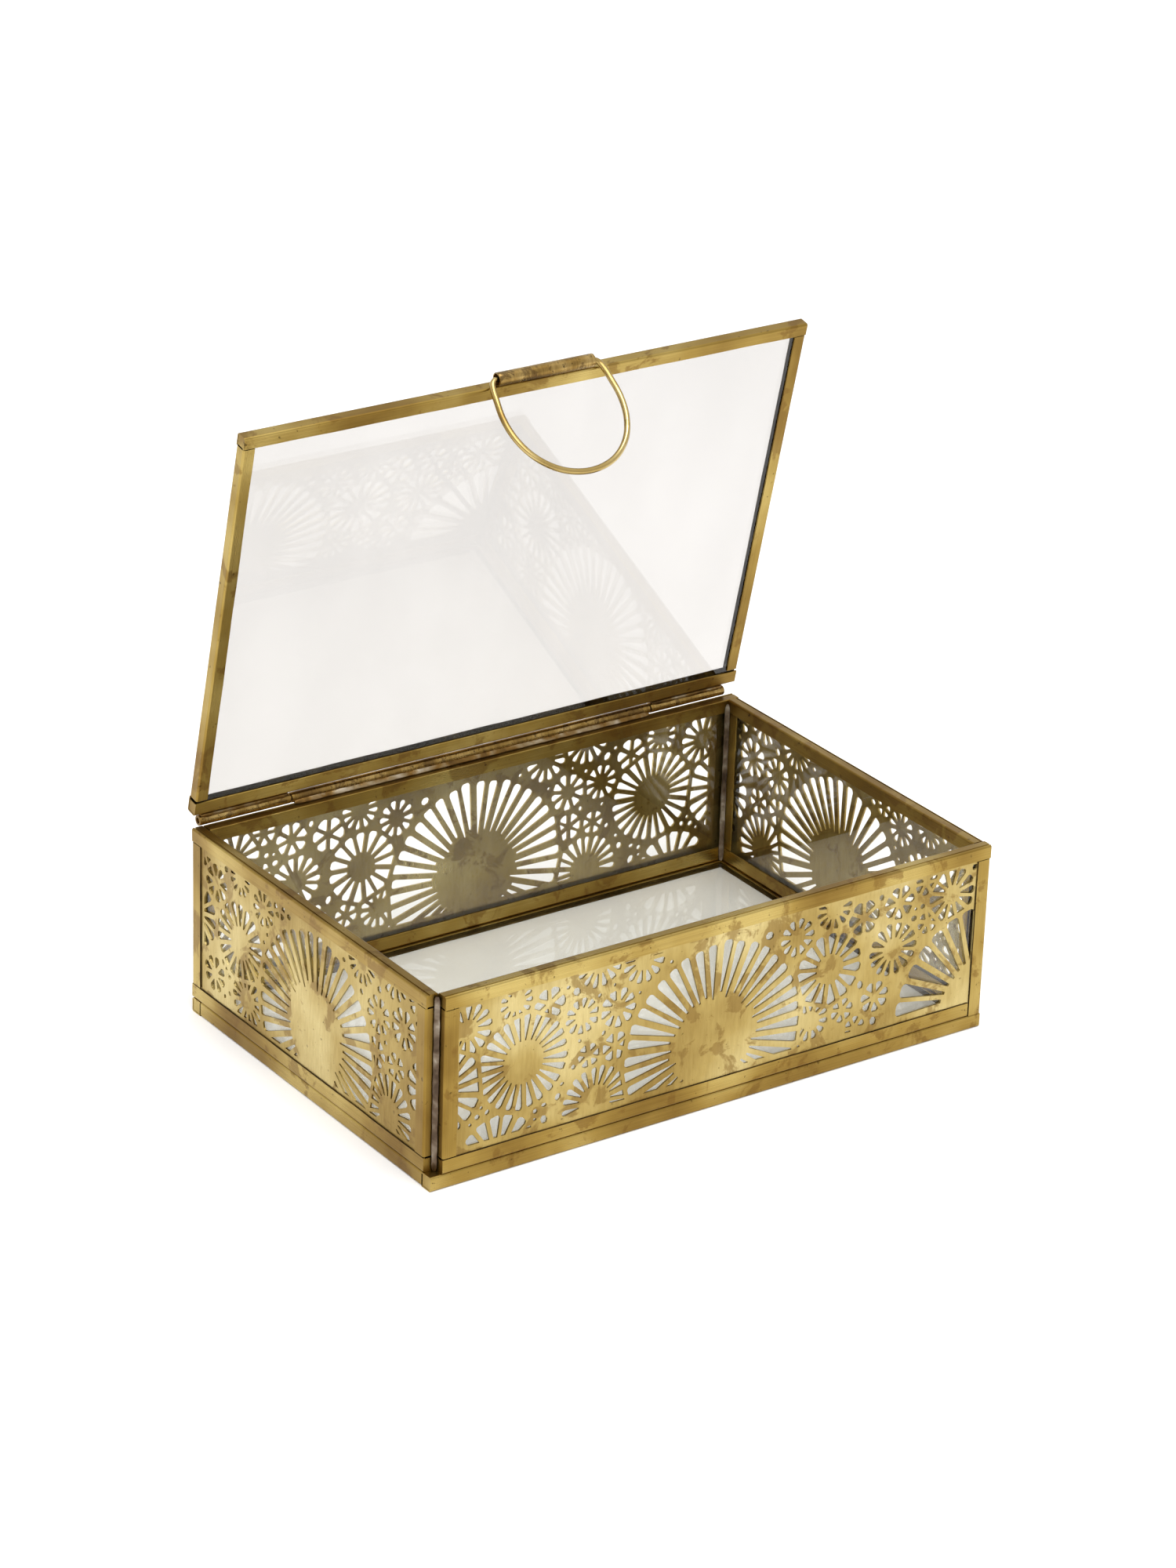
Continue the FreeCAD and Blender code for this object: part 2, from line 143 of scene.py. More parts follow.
# The U of a folded strip as (depth, through): round outer bends, tight inner ones. The points run along the
# outer side first and then back along the inner side. A groove can be scored beside the first bend.
def foldedProfile(flanges, thick, sheet, outerBend, innerBend, groove):
    near, far = flanges
    crease = [[0.0, 0.52], [0.27, 0.6], [0.27, 0.82], [0.0, 0.92]] if groove else np.zeros((0, 2))
    outer = np.vstack([[[near - 0.06, 0.0]], arc((outerBend, outerBend), outerBend, 270, 180), crease,
                       arc((outerBend, thick - outerBend), outerBend, 180, 90), [[far - 0.06, thick]]])
    tipA = [[far, thick - 0.1], [far, thick - sheet + 0.06]]
    reach, back = sheet + innerBend, thick - sheet - innerBend
    inner = np.vstack([[[far - 0.05, thick - sheet]], arc((reach, back), innerBend, 90, 180),
                       arc((reach, reach), innerBend, 180, 270), [[near - 0.05, sheet]]])
    tipB = [[near, sheet - 0.06], [near, 0.1]]
    profile, places = heldEdges(np.vstack([outer, tipA, inner, tipB]))
    return profile, places[len(outer) + 2]


# Two extra points near the ends of every long side of a closed outline, so that the side between its rounded
# corners is shaded flat. Also says where each of the old points now comes.
def heldEdges(outline, hold=0.06):
    step = np.roll(outline, -1, axis=0) - outline
    length = np.linalg.norm(step, axis=1)[:, None]
    near, far = outline + hold * step / length, outline + (length - hold) * step / length
    keep = np.hstack([length > 0, length > 6 * hold, length > 6 * hold])
    return np.stack([outline, near, far], axis=1)[keep], np.cumsum(keep.sum(axis=1)) - keep.sum(axis=1)


# A rectangle centred on nothing: from 0 to width and 0 to height, with round corners.
def roundedBox(width, height, corner, count=4):
    return np.vstack([arc((width - corner, corner), corner, 270, 360, count),
                      arc((width - corner, height - corner), corner, 0, 90, count),
                      arc((corner, height - corner), corner, 90, 180, count),
                      arc((corner, corner), corner, 180, 270, count)])


# An sRGB hex colour as the linear RGBA that a shader takes.
def linear(hexColour):
    parts = [int(hexColour[k:k + 2], 16) / 255 for k in (1, 3, 5)]
    return [p / 12.92 if p <= 0.04045 else ((p + 0.055) / 1.055) ** 2.4 for p in parts] + [1.0]


# Adds a node. Properties are its own, values set its sockets by name or number, stops are a ramp's colours as
# (position, hex colour), and links are (socket, node, its output).
def addNode(tree, kind, links=(), values=None, stops=(), **properties):
    node = tree.nodes.new(kind)
    for key, value in properties.items():
        setattr(node, key, value)
    for socket, value in (values or {}).items():
        node.inputs[socket].default_value = value
    for k, (place, colour) in enumerate(stops):
        element = node.color_ramp.elements[k] if k < 2 else node.color_ramp.elements.new(place)
        element.position, element.color = place, linear(colour)
    for socket, other, output in links:
        tree.links.new(other.outputs[output], node.inputs[socket])
    return node


def newMaterial(name):
    material = bpy.data.materials.new(name)
    material.use_nodes = True
    material.node_tree.nodes.clear()
    return material, material.node_tree


# Brass left to age. Broad clouds run from deep to pale where it was rubbed; brown stains with crisp edges are
# where flux dried; fine marks follow the way it was drawn or wiped, and dark specks are tarnish.
def brass(name, look):
    material, tree = newMaterial(name)
    place = addNode(tree, "ShaderNodeTexCoord")
    clouds = addNode(tree, "ShaderNodeTexNoise", [("Vector", place, "Object")],
                     {"Scale": 1000 / look["cloud"], "Detail": 3.0, "Roughness": 0.5})
    tone = addNode(tree, "ShaderNodeValToRGB", [("Fac", clouds, "Fac")],
                   stops=[(0.34, look["deep"]), (0.5, look["plain"]), (0.66, look["pale"])])
    # Flux stains: only where a finely ragged noise stands above a level, so that their edges are crisp.
    dried = addNode(tree, "ShaderNodeTexNoise", [("Vector", place, "Object")],
                    {"Scale": 1000 / look["stain"], "Detail": 7.0, "Roughness": 0.62, "Distortion": 0.5})
    stainMask = addNode(tree, "ShaderNodeMapRange", [("Value", dried, "Fac")],
                        {1: look["stainFrom"], 2: look["stainFrom"] + 0.045, 3: 0.0, 4: look["stainShare"]})
    stained = addNode(tree, "ShaderNodeMix", [(0, stainMask, "Result"), (6, tone, "Color")],
                      {7: linear(look["stainColour"])}, data_type="RGBA")
    # Marks, long and thin: along the strip's own map, or up the sheet. Real ones are a few hundredths of a
    # millimetre wide, and these are drawn as coarse as they need to show.
    onMap = look["marksOnMap"]
    stretched = addNode(tree, "ShaderNodeMapping", [("Vector", place, "UV" if onMap else "Object")],
                        {"Scale": look["marks"] if onMap else [v * 1000 for v in look["marks"]]})
    marks = addNode(tree, "ShaderNodeTexNoise", [("Vector", stretched, "Vector")],
                    {"Scale": 1.0, "Detail": 4.0, "Roughness": 0.65})
    markTone = addNode(tree, "ShaderNodeValToRGB", [("Fac", marks, "Fac")],
                       stops=[(0.3, look["markDark"]), (0.58, "#ffffff")])
    marked = addNode(tree, "ShaderNodeMix", [(6, stained, 2), (7, markTone, "Color")],
                     {0: look["markShare"]}, data_type="RGBA", blend_type="MULTIPLY")
    # Specks of tarnish, half a millimetre to a millimetre across.
    specks = addNode(tree, "ShaderNodeTexNoise", [("Vector", place, "Object")],
                     {"Scale": 1000 / look["speck"], "Detail": 2.0, "Roughness": 0.5})
    speckMask = addNode(tree, "ShaderNodeMapRange", [("Value", specks, "Fac")],
                        {1: look["speckFrom"], 2: look["speckFrom"] + 0.05, 3: 0.0, 4: look["speckShare"]})
    colour = addNode(tree, "ShaderNodeMix", [(0, speckMask, "Result"), (6, marked, 2)],
                     {7: linear(look["speckColour"])}, data_type="RGBA")
    # Pale, rubbed brass shines more than deep; the marks break the shine up.
    shine = addNode(tree, "ShaderNodeMapRange", [("Value", clouds, "Fac")],
                    {1: 0.34, 2: 0.66, 3: look["roughDeep"], 4: look["roughPale"]})
    broken = addNode(tree, "ShaderNodeMapRange", [("Value", marks, "Fac")],
                     {1: 0.3, 2: 0.7, 3: 0.07, 4: -0.07})
    rough = addNode(tree, "ShaderNodeMath", [(0, shine, "Result"), (1, broken, "Result")], operation="ADD")
    dents = addNode(tree, "ShaderNodeTexNoise", [("Vector", place, "Object")],
                    {"Scale": 1000 / look["dent"], "Detail": 2.0, "Roughness": 0.45})
    lowBump = addNode(tree, "ShaderNodeBump", [("Height", dents, "Fac")],
                      {"Strength": 1.0, "Distance": look["dentDepth"] * mm})
    fineBump = addNode(tree, "ShaderNodeBump", [("Height", marks, "Fac"), ("Normal", lowBump, "Normal")],
                       {"Strength": 1.0, "Distance": look["markDepth"] * mm})
    shader = addNode(tree, "ShaderNodeBsdfPrincipled",
                     [("Base Color", colour, 2), ("Roughness", rough, "Value"),
                      ("Normal", fineBump, "Normal")],
                     {"Metallic": 1.0})
    addNode(tree, "ShaderNodeOutputMaterial", [("Surface", shader, "BSDF")])
    return material


# Colours, sizes in millimetres (marks are per millimetre), and how much of each shows.
brassLooks = {
    # Thin strip folded by hand round the panes.
    "foldedStripBrass": {
        "deep": "#83672f", "plain": "#9e8342", "pale": "#bea764", "cloud": 30.0,
        "stain": 10.0, "stainFrom": 0.55, "stainShare": 0.6, "stainColour": "#775828",
        "marks": (0.025, 5.0, 1.0), "marksOnMap": True,
        "markDark": "#94805a", "markShare": 0.28, "markDepth": 0.004,
        "speck": 1.3, "speckFrom": 0.70, "speckShare": 0.7, "speckColour": "#46351a",
        "roughDeep": 0.4, "roughPale": 0.27, "dent": 9.0, "dentDepth": 0.06},
    # Thin sheet with the pattern etched through.
    "etchedSheetBrass": {
        "deep": "#957c43", "plain": "#ae975a", "pale": "#c9b77f", "cloud": 26.0,
        "stain": 8.0, "stainFrom": 0.535, "stainShare": 0.7, "stainColour": "#856a38",
        "marks": (1.5, 1.5, 0.22), "marksOnMap": False,
        "markDark": "#a49169", "markShare": 0.18, "markDepth": 0.002,
        "speck": 1.1, "speckFrom": 0.70, "speckShare": 0.6, "speckColour": "#54431f",
        "roughDeep": 0.42, "roughPale": 0.3, "dent": 11.0, "dentDepth": 0.05},
    # Drawn tube of the hinge and the pull.
    "drawnTubeBrass": {
        "deep": "#6e5530", "plain": "#93763f", "pale": "#b89c63", "cloud": 8.0,
        "stain": 4.0, "stainFrom": 0.55, "stainShare": 0.65, "stainColour": "#5b452a",
        "marks": (0.1, 3.0, 1.0), "marksOnMap": True,
        "markDark": "#8a7550", "markShare": 0.5, "markDepth": 0.01,
        "speck": 1.0, "speckFrom": 0.66, "speckShare": 0.7, "speckColour": "#3a2a18",
        "roughDeep": 0.4, "roughPale": 0.24, "dent": 4.0, "dentDepth": 0.05},
    # Round wire, brighter because it is handled.
    "drawnWireBrass": {
        "deep": "#8f7440", "plain": "#b39a60", "pale": "#cdb983", "cloud": 12.0,
        "stain": 6.0, "stainFrom": 0.6, "stainShare": 0.4, "stainColour": "#806430",
        "marks": (0.12, 3.0, 1.0), "marksOnMap": True,
        "markDark": "#9a8860", "markShare": 0.35, "markDepth": 0.006,
        "speck": 0.9, "speckFrom": 0.72, "speckShare": 0.5, "speckColour": "#54411f",
        "roughDeep": 0.3, "roughPale": 0.2, "dent": 6.0, "dentDepth": 0.03},
    # The inside of the folded strip: dark brown as painted shade in the closed fold, with a painted deeper
    # hue of brass reflecting brass.
    "foldShadeBrass": {
        "deep": "#33291b", "plain": "#4d3e26", "pale": "#6c5935", "cloud": 9.0,
        "stain": 4.0, "stainFrom": 0.55, "stainShare": 0.6, "stainColour": "#2c2115",
        "marks": (0.1, 2.6, 1.0), "marksOnMap": True,
        "markDark": "#6d5c40", "markShare": 0.6, "markDepth": 0.01,
        "speck": 1.1, "speckFrom": 0.66, "speckShare": 0.6, "speckColour": "#1e160d",
        "roughDeep": 0.6, "roughPale": 0.45, "dent": 5.0, "dentDepth": 0.05},
}
finishes = {name: brass(name, look) for name, look in brassLooks.items()}


# Tin and lead solder run from an iron: a dull metal, lumpy at a millimetre or two and browned by flux. The
# colour follows the lumps' height: painted shade in the dips and a pale painted glint where a lump stands up.
def tinSolder(name, look):
    material, tree = newMaterial(name)
    place = addNode(tree, "ShaderNodeTexCoord")
    lumps = addNode(tree, "ShaderNodeTexNoise", [("Vector", place, "Object")],
                    {"Scale": 1000 / look["lump"], "Detail": 3.0, "Roughness": 0.5, "Distortion": 0.3})
    grain = addNode(tree, "ShaderNodeTexNoise", [("Vector", place, "Object")],
                    {"Scale": 1000 / look["grain"], "Detail": 3.0})
    # Painted shade and painted glints: the same lumps that make the bump set the colour, dark low and pale
    # high.
    tone = addNode(tree, "ShaderNodeValToRGB", [("Fac", lumps, "Fac")], stops=look["shadeToGlintTones"])
    shine = addNode(tree, "ShaderNodeMapRange", [("Value", grain, "Fac")],
                    {1: 0.3, 2: 0.7, 3: look["rough"] + 0.08, 4: look["rough"] - 0.08})
    low = addNode(tree, "ShaderNodeBump", [("Height", lumps, "Fac")],
                  {"Strength": 1.0, "Distance": look["lumpDepth"] * mm})
    fine = addNode(tree, "ShaderNodeBump", [("Height", grain, "Fac"), ("Normal", low, "Normal")],
                   {"Strength": 1.0, "Distance": look["grainDepth"] * mm})
    shader = addNode(tree, "ShaderNodeBsdfPrincipled",
                     [("Base Color", tone, "Color"), ("Roughness", shine, "Result"),
                      ("Normal", fine, "Normal")],
                     {"Metallic": 1.0})
    addNode(tree, "ShaderNodeOutputMaterial", [("Surface", shader, "BSDF")])
    return material


solderLooks = {
    # Each ramp runs from painted shade in the dips up to painted glints on the lumps.
    "tinSolder": {"lump": 3.5, "lumpDepth": 0.3, "grain": 0.6, "grainDepth": 0.04, "rough": 0.36,
                  "shadeToGlintTones": [(0.32, "#40342a"), (0.48, "#5d4e40"), (0.62, "#796c5d"), (0.78, "#aba192")]},
    # Solder that bridges brass to brass is thin enough for the brass to show through.
    "thinTinSolder": {"lump": 5.0, "lumpDepth": 0.3, "grain": 0.7, "grainDepth": 0.04, "rough": 0.36,
                      "shadeToGlintTones": [(0.32, "#4b3820"), (0.5, "#75592f"), (0.62, "#8c7a5c"), (0.76, "#b9ae9b")]},
}
finishes.update({name: tinSolder(name, look) for name, look in solderLooks.items()})


# Cut window glass: clear and polished, with faint wiping smears some centimetres long.
def sheetGlass(name, tints, smear):
    material, tree = newMaterial(name)
    place = addNode(tree, "ShaderNodeTexCoord")
    wiping = addNode(tree, "ShaderNodeMapping", [("Vector", place, "Object")],
                     {"Scale": (60.0, 60.0, 22.0), "Rotation": (0.3, 0.5, 0.2)})
    wiped = addNode(tree, "ShaderNodeTexNoise", [("Vector", wiping, "Vector")], {"Scale": 1.0, "Detail": 4.0})
    film = addNode(tree, "ShaderNodeMapRange", [("Value", wiped, "Fac")],
                   {1: 0.5, 2: 0.8, 3: 0.0, 4: smear})
    shade = addNode(tree, "ShaderNodeValToRGB", [("Fac", wiped, "Fac")],
                    stops=[(0.35, tints[0]), (0.65, tints[1])])
    shader = addNode(tree, "ShaderNodeBsdfPrincipled",
                     [("Base Color", shade, "Color"), ("Roughness", film, "Result")],
                     {"IOR": 1.52, "Transmission Weight": 1.0})
    # Light from lamps, and from pale things around, goes straight through, slightly dimmed at each face.
    clear = addNode(tree, "ShaderNodeBsdfTransparent", values={"Color": linear("#f8f8f6")})
    rays = addNode(tree, "ShaderNodeLightPath")
    lighting = addNode(tree, "ShaderNodeMath", [(0, rays, "Is Shadow Ray"), (1, rays, "Is Diffuse Ray")],
                       operation="MAXIMUM")
    both = addNode(tree, "ShaderNodeMixShader",
                   [(0, lighting, "Value"), (1, shader, "BSDF"), (2, clear, "BSDF")])
    addNode(tree, "ShaderNodeOutputMaterial", [("Surface", both, "Shader")])
    return material


# The base pane is tinted darker than the walls as painted shade of the floor under the box, seen through it.
glassLooks = {"lidGlass": {"tints": ("#d2cfcc", "#d6d3d0"), "smear": 0.03},
              "wallGlass": {"tints": ("#f1f1ee", "#f5f5f2"), "smear": 0.05},
              "baseGlass": {"tints": ("#e0dfda", "#e4e3de"), "smear": 0.04}}
finishes.update({name: sheetGlass(name, **look) for name, look in glassLooks.items()})
print("stage: materials made")

# Each panel has an origin at a corner of its outer face, a length, and a low and a high edge across it.
wallSizes = {"low": 3.5, "high": 46, "thick": 3.0, "flange": 3.45, "topFlange": 3.25, "wall": True}
panels = {
    "front": {"origin": (-72, -50, 0), "along": xAxis, "across": zAxis, "inward": yAxis, "length": 147,
              "postDown": True, **wallSizes},
    "back": {"origin": (75, 50, 0), "along": -xAxis, "across": zAxis, "inward": -yAxis, "length": 147,
             "topBend": 0.2, **wallSizes},
    "left": {"origin": (-75, 50, 0), "along": -yAxis, "across": zAxis, "inward": xAxis, "length": 97,
             **wallSizes},
    "right": {"origin": (75, -47, 0), "along": yAxis, "across": zAxis, "inward": -xAxis, "length": 94,
              **wallSizes},
    "base": {"origin": (-75, -50, 0), "along": xAxis, "across": yAxis, "inward": zAxis, "length": 150,
             "low": 0, "high": 100, "thick": 3.5, "flange": 3.45, "names": ("front", "back")},
    "lid": {"origin": (-75, 48.2, 49.41), "along": xAxis, "across": -yAxis, "inward": -zAxis, "length": 150,
            "low": 0, "high": 99.74, "thick": 3.0, "flange": 2.95, "backFlange": (3.85, 3.35),
            "names": ("back", "front"), "turned": True},
}


# u along the panel, v across it and t through it from its outer face, as a place in the box's frame.
def inPanel(panel, u, v, t):
    u, v, t = np.broadcast_arrays(np.asarray(u, float), v, t)
    place = np.array(panel["origin"], float) + u[..., None] * panel["along"]
    place = place + v[..., None] * panel["across"] + t[..., None] * panel["inward"]
    return openLid(place) if panel.get("turned") else place


# A folded profile carried along one edge of a panel. The flange tips wander a little, and the flanges are
# pressed in by up to a few hundredths of a millimetre, as on a hand-folded strip. side says whether the strip
# lies along u at an edge v, or stands along v at an edge u.
def foldedStrip(panel, edge, opens, side, run, seed, flanges, groove):
    thick, flange = panel["thick"], min(flanges)
    bend = panel.get("topBend", strip["outerBend"]) if groove else strip["outerBend"]
    profile, innerFrom = foldedProfile(flanges, thick, strip["sheet"], bend, strip["innerBend"], groove)
    stations = max(12, int((run[1] - run[0]) / strip["station"]))
    s = np.linspace(run[0], run[1], stations)
    depth, through = profile[:, 0][None, :], profile[:, 1][None, :]
    outerTip, innerTip = ripple(seed, s, 38)[:, None], ripple(seed + 1, s, 31)[:, None]
    tip = np.where(through < thick / 2, outerTip, innerTip)
    depth = depth * (1 + strip["tipWander"] * tip * (depth > flange * 0.5))
    # Pressed in only, so that the strip stays inside its own outline.
    press = strip["pressed"] * (0.5 + 0.5 * ripple(seed + 2, s, 24))[:, None]
    middle = thick / 2
    through = middle + (through - middle) * (1 - press / middle * (depth > 0.8))
    across = edge + opens * (depth + 0.02 + 0.03 * (0.5 + 0.5 * ripple(seed + 3, s, 29))[:, None])
    along = np.broadcast_to(s[:, None], across.shape)
    if side == "v":
        grid = inPanel(panel, along, across, through)
    else:
        grid = inPanel(panel, across, along, through)
    parts = [(grid, {"innerFrom": innerFrom})]
    # A little tab folded across each end of a lying strip hides the pane's edge.
    inset = strip["tabInset"]
    tab = roundedBox(flange - 2 * inset, thick - 2 * inset, 0.15)
    for end, inwards in ((run[0], 1), (run[1], -1)) if side == "v" else ():
        place = (end + inwards * np.array([0.06, 0.3]))[:, None]
        acrossTab, throughTab = edge + opens * (tab[:, 0] + inset), tab[:, 1] + inset
        parts.append(inPanel(panel, place, acrossTab, throughTab))
    return parts


# Cut glass: a rectangle of the pane's height and thickness with ground corners, carried along its length.
def pane(panel, u, v, t):
    profile = heldEdges(roundedBox(v[1] - v[0], t[1] - t[0], glass["corner"]))[0]
    s = np.linspace(u[0], u[1], 8)[:, None]
    return inPanel(panel, s, v[0] + profile[:, 0][None, :], t[0] + profile[:, 1][None, :])


# Outer side of each strip, then its inside, which is darkened as painted shade of the fold.
stripFinish = [finishes["foldedStripBrass"], finishes["foldShadeBrass"]]
seed = 10
for name, panel in panels.items():
    body = "lid" if name == "lid" else "box"
    low, high, length, seam = panel["low"], panel["high"], panel["length"], strip["seam"]
    flange = panel["flange"]
    if panel.get("wall"):
        labels = ("bottom", "top")
        foot, head = low + 3.6 + seam, high - 3.3 - seam
    else:
        labels = panel["names"]
        foot = low + panel.get("backFlange", (flange,))[0] + 0.05 + seam
        head = high - flange - 0.05 - seam
    postFoot = foot
    if panel.get("postDown"):  # the right post runs down to the base, past the end of the bottom strip
        postFoot = low + 0.02
    rows = [(labels[0], low, 1, "v", (0.0, length - 3.8 if panel.get("postDown") else length)),
            (labels[1], high, -1, "v", (0.0, length)),
            ("left", 0.0, 1, "u", (foot, head)), ("right", length, -1, "u", (postFoot, head))]
    for label, edge, opens, side, run in rows:
        seed += 7
        flanges = flange, flange
        if name == "lid" and label == "back":
            flanges = panel["backFlange"]
        if "topFlange" in panel and label == "top":
            flanges = panel["topFlange"], panel["topFlange"]
        parts = foldedStrip(panel, edge, opens, side, run, seed, flanges, label == "top")
        makePiece(f"{name}_{label}_strip", parts, body, stripFinish, [f"{name}_{label}_channel"])
    through = glass["wallThrough"] if panel.get("wall") else (glass["edge"], panel["thick"] - glass["edge"])
    inset = glass["inset"]
    kind = "wall" if panel.get("wall") else name
    makePiece(f"{name}_pane", [pane(panel, (inset, length - inset), (low + inset, high - inset), through)],
              body, [finishes[f"{kind}Glass"]], [f"{name}_glass"])
    if panel.get("wall"):
        nodes[f"{name}_fretwork"].material_slots[0].material = finishes["etchedSheetBrass"]
print("stage: panels made")


# A tube turned about a line along X: its wall section, with rounded rims, carried round a circle and dented
# by a few hundredths of a millimetre. mouth widens the bore to that radius at the ends.
def tubeRings(xLow, xHigh, y, z, outer, inner, seed, mouth=None):
    rim = 0.09
    xs = np.linspace(xLow + rim, xHigh - rim, max(8, int((xHigh - xLow) / 1.2)))
    outside = np.stack([xs, np.full(len(xs), outer)], axis=1)
    ends = arc((xHigh - rim, outer - rim), rim, 90, 0, 3), arc((xLow + rim, outer - rim), rim, 180, 90, 3)
    if mouth:
        bore = np.array([[xHigh, mouth], [xHigh - 1.5, mouth], [xHigh - 1.5, inner], [xLow + 1.5, inner],
                         [xLow + 1.5, mouth], [xLow, mouth]])
    else:
        bore = np.array([[xHigh, inner], [xLow, inner]])
    section = np.vstack([outside[1:-1], ends[0], bore, ends[1]])
    turn = np.linspace(0, 2 * math.pi, 28, endpoint=False)
    x = np.broadcast_to(section[:, 0], (len(turn), len(section)))
    isOutside = section[:, 1] > (outer + inner) / 2
    dent = 0.025 * (0.5 + 0.5 * ripple(seed, x + 3 * np.cos(turn)[:, None], 9.0)) * isOutside
    radius = section[:, 1] - dent
    return np.stack([x, y + radius * np.cos(turn)[:, None], z + radius * np.sin(turn)[:, None]], axis=-1)


# A run of solder along X: an outline of (y, z), rounded off, whose size swells and sinks along the run.
def bead(xLow, xHigh, outline, seed, lump, step=1.3):
    outline = np.array(outline, float)
    # Chaikin's rule twice: each corner is replaced by points a quarter of the way along its two sides.
    for _ in range(2):
        following = np.roll(outline, -1, axis=0)
        outline = np.stack([0.75 * outline + 0.25 * following, 0.25 * outline + 0.75 * following], 1)
        outline = outline.reshape(-1, 2)
    middle = outline.mean(axis=0)
    s = np.linspace(xLow, xHigh, max(8, int((xHigh - xLow) / step) * 2))
    ends = np.clip(np.minimum(s - xLow, xHigh - s) / 1.2, 0, 1) ** 0.5
    size = (0.55 + 0.45 * ends) * (1 - lump + lump * ripple(seed, s, 7.0))
    y = middle[0] + (outline[:, 0] - middle[0]) * size[:, None]
    z = middle[1] + (outline[:, 1] - middle[1]) * size[:, None]
    return np.stack([np.broadcast_to(s[:, None], y.shape), y, z], axis=-1)


# Where each hinge tube runs, and the outlines (y, z) of the solder that ties it to the lid or the wall.
knuckles = {"left": (-73.3, -49.375), "middle": (-49.025, 50.525), "right": (50.875, 72.3)}
tieOutline = [(48.25, 46.5), (49.3, 46.4), (49.6, 47.0), (49.9, 48.2), (49.2, 48.6), (48.25, 48.9)]
seatOutline = [(48.1, 46.03), (49.9, 46.03), (50.2, 46.3), (50.0, 47.0), (49.3, 47.2), (48.8, 46.9)]
for name, (xLow, xHigh) in knuckles.items():
    fixed = name == "middle"
    rings = tubeRings(xLow, xHigh, hinge["y"], hinge["z"], hinge["tube"] - 0.01, hinge["bore"],
                      90 + int(xHigh))
    solder = bead(xLow + 0.5, xHigh - 0.5, seatOutline if fixed else tieOutline, 31 + int(xHigh), 0.05)
    if not fixed:
        rings, solder = openLid(rings), openLid(solder)
    body = "box" if fixed else "lid"
    makePiece(f"hinge_tube_{name}", [(rings, {"wrapPath": True})], body, [finishes["drawnTubeBrass"]],
              [f"hinge_knuckle_{name}"])
    makePiece(f"hinge_solder_run_{name}", [solder], body, [finishes["thinTinSolder"]],
              [f"hinge_solder_{name}"], sharp=60)
nodes["hinge_pin"].material_slots[0].material = finishes["drawnWireBrass"]


# The same run of solder standing upright: the outline is (x, y) from the corner's own line.
def uprightBead(x, y, outline, seed, low=3.6, high=45.0):
    flat = bead(low, high, outline, seed, 0.10, 1.6)
    return np.stack([x + flat[..., 1], y + flat[..., 2], flat[..., 0]], axis=-1)


corners = {"front_left": (-72, -47, 1, 1), "front_right": (72, -47, -1, 1),
           "back_left": (-72, 47, 1, -1), "back_right": (72, 47, -1, -1)}
for name, (x, y, sx, sy) in corners.items():
    inner = [(0.0, 0.0), (sx * 1.15, 0.0), (sx * 0.62, sy * 0.3), (sx * 0.3, sy * 0.62), (0.0, sy * 1.15)]
    runs = [uprightBead(x, y, inner, 50 + len(name))]
    if name == "front_left":
        notch = [(-0.05, -0.05), (-1.35, -0.05), (-0.95, -0.55), (-0.55, -0.95), (-0.05, -1.35)]
        runs.append(uprightBead(x, y, notch, 77, 3.6, 45.3))
    makePiece(f"corner_bead_{name}", runs, "box", [finishes["tinSolder"]], [f"corner_solder_{name}"],
              sharp=60)
print("stage: hinge and corners made")

# The pull: angle is its wire's swing below the lid when shut, and line its wire's right half, as (along the
# tube, out from it).
pull = {"centre": 2.4, "length": 25.6, "tube": 1.6, "bore": 0.82, "mouth": 1.3, "wire": 0.72, "angle": 60.0,
        "frontEdge": 48.2 - 99.74, "axisUp": 46.41 + 0.75,
        "line": [(1.5, 0.0), (4.5, 0.0), (7.5, 0.0), (10.0, 0.0), (12.2, 0.0), (13.45, 0.22), (14.3, 0.95),
                 (14.75, 2.2), (15.2, 5.2), (15.6, 9.5), (14.9, 14.5), (12.3, 19.8),
                 (7.2, 24.1), (0.0, 25.8)]}
axisY = pull["frontEdge"] - pull["tube"]
tubeLow, tubeHigh = pull["centre"] - pull["length"] / 2, pull["centre"] + pull["length"] / 2
rings = tubeRings(tubeLow, tubeHigh, axisY, pull["axisUp"], pull["tube"] - 0.01, pull["bore"], 5,
                  pull["mouth"])
makePiece("pull_tube", [(openLid(rings), {"wrapPath": True})], "lid", [finishes["drawnTubeBrass"]],
          ["handle_tube"])
fromAxis = np.array([pull["frontEdge"], pull["axisUp"]])
lowerFillet = fromAxis + [(-0.02, -0.68), (-0.95, -1.15), (-0.9, -0.55), (-0.1, -0.15)]
upperFillet = fromAxis + [(-0.02, 1.8), (-0.9, 1.3), (-0.5, 0.65), (-0.05, 0.45)]
fillets = [openLid(bead(tubeLow + 2, tubeHigh - 3, lowerFillet, 61, 0.18)),
           openLid(bead(tubeLow + 2, tubeHigh - 3, upperFillet, 62, 0.18))]
makePiece("pull_solder", fillets, "lid", [finishes["tinSolder"]], ["handle_solder"],
          sharp=60)


# A curve through the points: on each stretch a cubic whose slopes come from its neighbours.
def smoothLine(points, count):
    points = np.array(points, float)
    step = np.linalg.norm(np.diff(points, axis=0), axis=1)
    at = np.concatenate([[0], np.cumsum(step)])
    slopes = np.gradient(points, at, axis=0)
    s = np.linspace(0, at[-1], count)
    k = np.clip(np.searchsorted(at, s, side="right") - 1, 0, len(points) - 2)
    width = (at[k + 1] - at[k])[:, None]
    f = ((s - at[k]) / (at[k + 1] - at[k]))[:, None]
    return ((2 * f**3 - 3 * f**2 + 1) * points[k] + (f**3 - 2 * f**2 + f) * width * slopes[k]
            + (3 * f**2 - 2 * f**3) * points[k + 1] + (f**3 - f**2) * width * slopes[k + 1])


